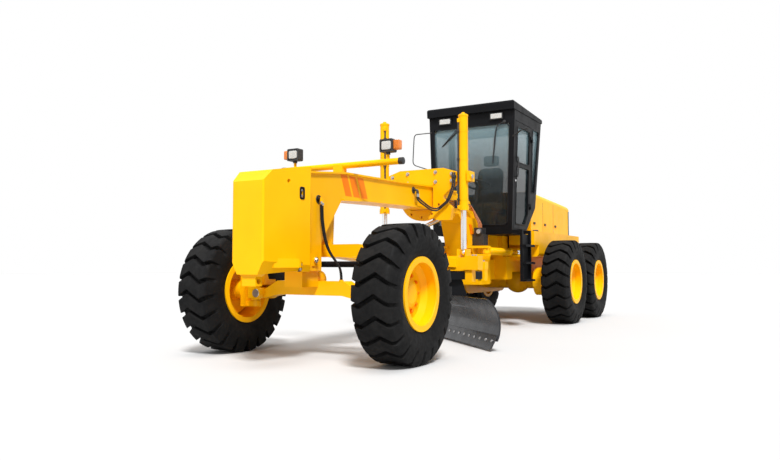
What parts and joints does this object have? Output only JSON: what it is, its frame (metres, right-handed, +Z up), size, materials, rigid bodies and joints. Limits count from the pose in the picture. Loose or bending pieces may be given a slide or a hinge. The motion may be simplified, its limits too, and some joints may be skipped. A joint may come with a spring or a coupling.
{
  "type": "motor grader",
  "caption": "Articulated motor grader with leaning front wheels, tandem rear wheels, a cab, and a blade slung on a turning circle under the frame beam.",
  "frame": {"origin": "on the ground under the middle of the machine's length and width", "axes": "+X forward, +Y to the machine's left, +Z up"},
  "size_m": [8.92, 3.0236, 3.4483],
  "materials": {
    "yellow": "semi-gloss",
    "charcoal": "satin",
    "tyre": "matte",
    "steel": "polished",
    "chrome": "polished",
    "glass": "clear",
    "black_plastic": "matte",
    "lamp": "clear",
    "seat": "matte",
    "hose": "matte",
    "cast": "rough"
  },
  "bodies": {
    "rear_chassis": {"rear_frame": "yellow", "tandem_axle": "yellow", "engine_block": "cast", "side_tanks": "yellow", "engine_hood": "yellow", "cab_shell": "charcoal", "cab_roof": "charcoal", "cab_glass": "glass", "cab_interior": "black_plastic", "seat_cushion": "seat", "seat_backrest": "seat", "cab_lamps": "lamp", "cab_steps": "charcoal"},
    "front_frame": {"front_frame": "yellow", "counterweight": "yellow", "lift_saddle": "yellow", "lamp_bar": "yellow", "head_lamps": "lamp", "front_axle": "yellow", "axle_hose_outer": "hose", "axle_hose_inner": "hose", "valve_bank": "cast"},
    "lean_yoke_left": {"lean_yoke_left": "yellow"},
    "knuckle_left": {"knuckle_left": "yellow"},
    "lean_yoke_right": {"lean_yoke_right": "yellow"},
    "knuckle_right": {"knuckle_right": "yellow"},
    "lean_bar": {"lean_bar": "yellow"},
    "tie_rod_ball": {"tie_rod_ball": "charcoal"},
    "tie_rod": {"tie_rod": "charcoal"},
    "wheel_front_left": {"tyre_front_left": "tyre", "rim_front_left": "yellow"},
    "wheel_front_right": {"tyre_front_right": "tyre", "rim_front_right": "yellow"},
    "wheel_middle_left": {"tyre_middle_left": "tyre", "rim_middle_left": "yellow"},
    "wheel_middle_right": {"tyre_middle_right": "tyre", "rim_middle_right": "yellow"},
    "wheel_back_left": {"tyre_back_left": "tyre", "rim_back_left": "yellow"},
    "wheel_back_right": {"tyre_back_right": "tyre", "rim_back_right": "yellow"},
    "drawbar": {"drawbar": "yellow"},
    "circle": {"circle": "charcoal"},
    "blade": {"moldboard": "steel", "cutting_edge": "steel"},
    "door_left": {"door_left": "charcoal", "door_glass_left": "glass"},
    "door_right": {"door_right": "charcoal", "door_glass_right": "glass"},
    "lift_barrel_left": {"lift_barrel_left": "yellow"},
    "lift_rod_left": {"lift_rod_left": "chrome"},
    "artic_barrel_left": {"artic_barrel_left": "yellow"},
    "artic_rod_left": {"artic_rod_left": "chrome"},
    "lift_barrel_right": {"lift_barrel_right": "yellow"},
    "lift_rod_right": {"lift_rod_right": "chrome"},
    "artic_barrel_right": {"artic_barrel_right": "yellow"},
    "artic_rod_right": {"artic_rod_right": "chrome"},
    "centre_shift_rod": {"centre_shift_rod": "chrome"},
    "centre_shift_barrel": {"centre_shift_barrel": "yellow"}
  },
  "joints": [
    {"name": "articulation", "type": "hinge", "parent": "rear_chassis", "child": "front_frame", "pos_m": [-1.01, 0, 0.87], "axis": [0, 0, 1], "range_deg": [-25, 25]},
    {"name": "lean_left", "type": "hinge", "parent": "front_frame", "child": "lean_yoke_left", "pos_m": [3.44, 0.655, 0.65], "axis": [-1, 0, 0], "range_deg": [-17, 17]},
    {"name": "steer_left", "type": "hinge", "parent": "lean_yoke_left", "child": "knuckle_left", "pos_m": [3.44, 0.78, 0.675], "axis": [0, 0, 1], "range_deg": [-45, 45]},
    {"name": "lean_right", "type": "hinge", "parent": "front_frame", "child": "lean_yoke_right", "pos_m": [3.44, -0.655, 0.65], "axis": [-1, 0, 0], "range_deg": [-18, 18]},
    {"name": "steer_right", "type": "hinge", "parent": "lean_yoke_right", "child": "knuckle_right", "pos_m": [3.44, -0.78, 0.675], "axis": [0, 0, 1], "range_deg": [-46, 46]},
    {"name": "lean_bar_pivot", "type": "hinge", "parent": "lean_yoke_left", "child": "lean_bar", "pos_m": [3.405, 0.655, 1.095], "axis": [1, 0, 0], "range_deg": [-18, 18]},
    {"name": "tie_rod_swivel", "type": "hinge", "parent": "knuckle_left", "child": "tie_rod_ball", "pos_m": [3.18, 0.78, 0.956], "axis": [0, 0, 1], "range_deg": [-46, 46]},
    {"name": "tie_rod_level", "type": "hinge", "parent": "tie_rod_ball", "child": "tie_rod", "pos_m": [3.18, 0.78, 0.956], "axis": [1, 0, 0], "range_deg": [-18, 18]},
    {"name": "spin_front_left", "type": "hinge", "parent": "knuckle_left", "child": "wheel_front_left", "pos_m": [3.44, 1.0775, 0.675], "axis": [0, 1, 0], "continuous": true},
    {"name": "spin_front_right", "type": "hinge", "parent": "knuckle_right", "child": "wheel_front_right", "pos_m": [3.44, -1.0775, 0.675], "axis": [0, 1, 0], "continuous": true},
    {"name": "spin_middle_left", "type": "hinge", "parent": "rear_chassis", "child": "wheel_middle_left", "pos_m": [-1.99, 1.0775, 0.675], "axis": [0, 1, 0], "continuous": true},
    {"name": "spin_middle_right", "type": "hinge", "parent": "rear_chassis", "child": "wheel_middle_right", "pos_m": [-1.99, -1.0775, 0.675], "axis": [0, 1, 0], "continuous": true},
    {"name": "spin_back_left", "type": "hinge", "parent": "rear_chassis", "child": "wheel_back_left", "pos_m": [-3.53, 1.0775, 0.675], "axis": [0, 1, 0], "continuous": true},
    {"name": "spin_back_right", "type": "hinge", "parent": "rear_chassis", "child": "wheel_back_right", "pos_m": [-3.53, -1.0775, 0.675], "axis": [0, 1, 0], "continuous": true},
    {"name": "drawbar_lift", "type": "hinge", "parent": "front_frame", "child": "drawbar", "pos_m": [3.22, 0, 1.1], "axis": [0, 1, 0], "range_deg": [-13, 10]},
    {"name": "circle_turn", "type": "hinge", "parent": "drawbar", "child": "circle", "pos_m": [0.74, 0, 0.81], "axis": [0, 0, 1], "continuous": true},
    {"name": "blade_shift", "type": "slide", "parent": "circle", "child": "blade", "axis": [0.682, 0.7314, 0], "range_m": [-0.5, 0.5]},
    {"name": "door_left_swing", "type": "hinge", "parent": "rear_chassis", "child": "door_left", "pos_m": [-1.436, 0.67801, 1.414], "axis": [0, 0.0343, 0.9994], "range_deg": [0, 80]},
    {"name": "door_right_swing", "type": "hinge", "parent": "rear_chassis", "child": "door_right", "pos_m": [-1.436, -0.67801, 1.414], "axis": [0, 0.0343, -0.9994], "range_deg": [0, 80]},
    {"name": "lift_left_swing", "type": "hinge", "parent": "front_frame", "child": "lift_barrel_left", "pos_m": [0.98, 0.6, 2.1], "axis": [0, 1, 0], "range_deg": [-0.94, 0.94]},
    {"name": "lift_left_stroke", "type": "slide", "parent": "lift_barrel_left", "child": "lift_rod_left", "axis": [0, 0, -1], "range_m": [-0.5334, 0.5334]},
    {"name": "artic_left_swing", "type": "hinge", "parent": "front_frame", "child": "artic_barrel_left", "pos_m": [-0.14, 0.45, 1.15], "axis": [0, 0, 1], "range_deg": [-9.7, 9.7]},
    {"name": "artic_left_stroke", "type": "slide", "parent": "artic_barrel_left", "child": "artic_rod_left", "axis": [-1, 0, 0], "range_m": [-0.2069, 0.2069]},
    {"name": "lift_right_swing", "type": "hinge", "parent": "front_frame", "child": "lift_barrel_right", "pos_m": [0.98, -0.6, 2.1], "axis": [0, 1, 0], "range_deg": [-0.94, 0.94]},
    {"name": "lift_right_stroke", "type": "slide", "parent": "lift_barrel_right", "child": "lift_rod_right", "axis": [0, 0, -1], "range_m": [-0.5334, 0.5334]},
    {"name": "artic_right_swing", "type": "hinge", "parent": "front_frame", "child": "artic_barrel_right", "pos_m": [-0.14, -0.45, 1.15], "axis": [0, 0, 1], "range_deg": [-9.7, 9.7]},
    {"name": "artic_right_stroke", "type": "slide", "parent": "artic_barrel_right", "child": "artic_rod_right", "axis": [-1, 0, 0], "range_m": [-0.2069, 0.2069]},
    {"name": "centre_shift_swing", "type": "hinge", "parent": "front_frame", "child": "centre_shift_rod", "pos_m": [0.86, 0.33, 1.62], "axis": [1, 0, 0], "range_deg": [-23.72, 23.72]},
    {"name": "centre_shift_stroke", "type": "slide", "parent": "centre_shift_rod", "child": "centre_shift_barrel", "axis": [0, -0.9254, -0.379], "range_m": [-0.2132, 0.2132]}
  ],
  "couplings": [
    {"joint": "lean_right", "follows": "lean_left", "ratio": 1},
    {"joint": "steer_right", "follows": "steer_left", "ratio": 1},
    {"joint": "lean_bar_pivot", "follows": "lean_left", "ratio": 1},
    {"joint": "tie_rod_swivel", "follows": "steer_left", "ratio": -1},
    {"joint": "tie_rod_level", "follows": "lean_left", "ratio": 0.84},
    {"joint": "lift_left_swing", "follows": "drawbar_lift", "ratio": 0.054522},
    {"joint": "lift_left_stroke", "follows": "drawbar_lift", "m_per_rad": -2.2307},
    {"joint": "artic_left_swing", "follows": "articulation", "ratio": -0.36192},
    {"joint": "artic_left_stroke", "follows": "articulation", "m_per_rad": -0.44729},
    {"joint": "lift_right_swing", "follows": "drawbar_lift", "ratio": 0.054522},
    {"joint": "lift_right_stroke", "follows": "drawbar_lift", "m_per_rad": -2.2307},
    {"joint": "artic_right_swing", "follows": "articulation", "ratio": -0.36192},
    {"joint": "artic_right_stroke", "follows": "articulation", "m_per_rad": 0.44729},
    {"joint": "centre_shift_swing", "follows": "drawbar_lift", "ratio": -1.7228},
    {"joint": "centre_shift_stroke", "follows": "drawbar_lift", "m_per_rad": -0.88663}
  ]
}
